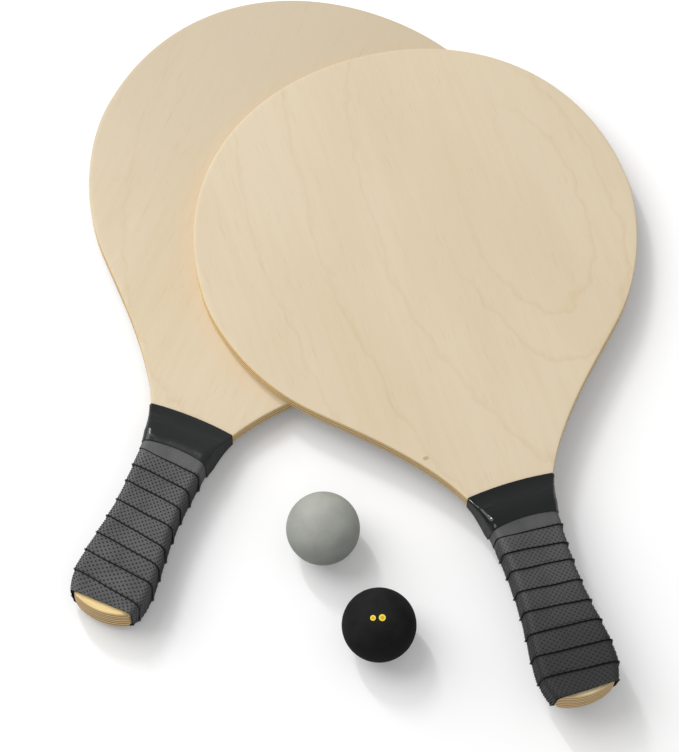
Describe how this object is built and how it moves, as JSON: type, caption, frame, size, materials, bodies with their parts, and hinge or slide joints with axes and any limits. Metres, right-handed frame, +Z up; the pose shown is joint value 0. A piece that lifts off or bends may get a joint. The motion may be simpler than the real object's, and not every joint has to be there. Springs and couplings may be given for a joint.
{
  "type": "paddle ball set",
  "caption": "Teardrop plywood paddles with tape-wound grips and glossy neck bands, one lying across the other, and small solid-coloured rubber balls, for beach paddle ball.",
  "frame": {"origin": "bottom centre of the bounding box, on the floor under the set", "axes": "+Z up from the floor, +Y along the set's length from the grips towards the blade tips, +X to the right of the upper paddle's side"},
  "size_m": [0.3126, 0.4332, 0.04],
  "materials": {
    "blade_wood": "sanded birch-faced plywood, clear satin",
    "cheek_wood": "sanded plywood end, clear satin",
    "grip_tape": "matt perforated polyurethane",
    "neck_band": "gloss stretched film",
    "grey_rubber": "matt moulded rubber",
    "black_rubber": "matt moulded rubber"
  },
  "bodies": {
    "root": {"lower_board": "blade_wood", "lower_top_cheek": "cheek_wood", "lower_bottom_cheek": "cheek_wood", "lower_grip_tape": "grip_tape", "lower_neck_band": "neck_band", "upper_board": "blade_wood", "upper_top_cheek": "cheek_wood", "upper_bottom_cheek": "cheek_wood", "upper_grip_tape": "grip_tape", "upper_neck_band": "neck_band", "grey_ball": "grey_rubber", "black_ball": "black_rubber"}
  },
  "joints": []
}
